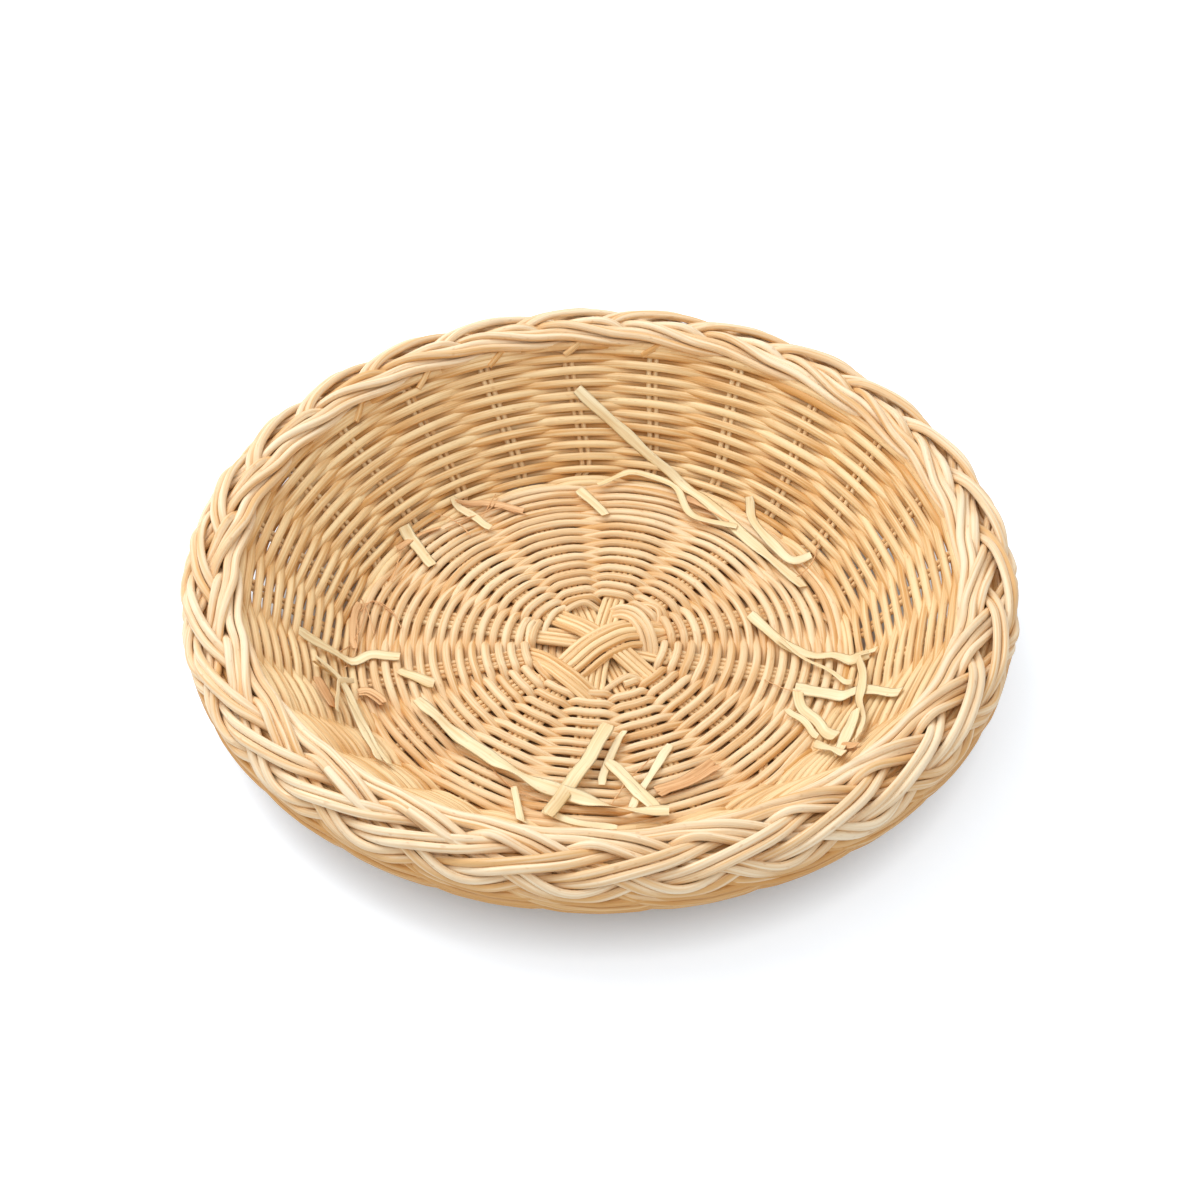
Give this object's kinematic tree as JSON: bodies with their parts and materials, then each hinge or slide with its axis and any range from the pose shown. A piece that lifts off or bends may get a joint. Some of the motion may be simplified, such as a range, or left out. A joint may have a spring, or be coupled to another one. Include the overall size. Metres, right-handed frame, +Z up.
{
  "type": "gift basket",
  "caption": "Shallow round woven rattan gift basket with a flaring wall, a thick plaited border and a few loose strands of wood wool inside.",
  "frame": {"origin": "centre of the basket on the plane it stands on", "axes": "+Z up, out of the basket's mouth; -Y is the side that faces the viewer in the picture; +X is the viewer's right"},
  "size_m": [0.2978, 0.2986, 0.0521],
  "materials": {
    "floor_cane": "natural peeled rattan cane, satin, woven close",
    "wall_cane": "natural peeled rattan cane, satin, a shade darker, woven close",
    "stake_cane": "natural peeled rattan cane, pale, fine grain along its length",
    "border_cane": "natural peeled rattan cane, pale cream, thicker rods, fine grain along their length",
    "wood_wool_pale": "thin shaved wood strip, pale yellow, matte",
    "wood_wool_tan": "thin shaved wood strip, tan, matte"
  },
  "bodies": {
    "root": {"floor_weave": "floor_cane", "wall_weave": "wall_cane", "base_stakes_1": "stake_cane", "base_stakes_2": "stake_cane", "base_stakes_3": "stake_cane", "base_stakes_4": "stake_cane", "base_stakes_5": "stake_cane", "base_stakes_6": "stake_cane", "base_stakes_half": "stake_cane", "border_strand_01": "border_cane", "border_strand_02": "border_cane", "border_strand_03": "border_cane", "border_strand_04": "border_cane", "border_strand_05": "border_cane", "border_strand_06": "border_cane", "border_strand_07": "border_cane", "border_strand_08": "border_cane", "border_strand_09": "border_cane", "border_strand_10": "border_cane", "border_strand_11": "border_cane", "border_strand_12": "border_cane", "border_strand_13": "border_cane", "border_strand_14": "border_cane", "border_strand_15": "border_cane", "border_strand_16": "border_cane", "border_strand_17": "border_cane", "border_strand_18": "border_cane", "border_strand_19": "border_cane", "border_strand_20": "border_cane", "border_strand_21": "border_cane", "border_strand_22": "border_cane", "border_strand_23": "border_cane", "border_strand_24": "border_cane", "border_strand_25": "border_cane", "border_strand_26": "border_cane", "border_core": "wall_cane", "border_tails": "wall_cane", "centre_binding_1": "stake_cane", "centre_binding_2": "stake_cane", "wood_wool_01": "wood_wool_pale", "wood_wool_02": "wood_wool_pale", "wood_wool_03": "wood_wool_pale", "wood_wool_04": "wood_wool_pale", "wood_wool_05": "wood_wool_pale", "wood_wool_06": "wood_wool_pale", "wood_wool_07": "wood_wool_pale", "wood_wool_08": "wood_wool_pale", "wood_wool_09": "wood_wool_pale", "wood_wool_10": "wood_wool_pale", "wood_wool_11": "wood_wool_pale", "wood_wool_12": "wood_wool_pale", "wood_wool_13": "wood_wool_pale", "wood_wool_14": "wood_wool_tan", "wood_wool_15": "wood_wool_pale", "wood_wool_16": "wood_wool_tan", "wood_wool_17": "wood_wool_pale", "wood_wool_18": "wood_wool_pale", "wood_wool_19": "wood_wool_pale", "wood_wool_20": "wood_wool_pale"}
  },
  "joints": []
}
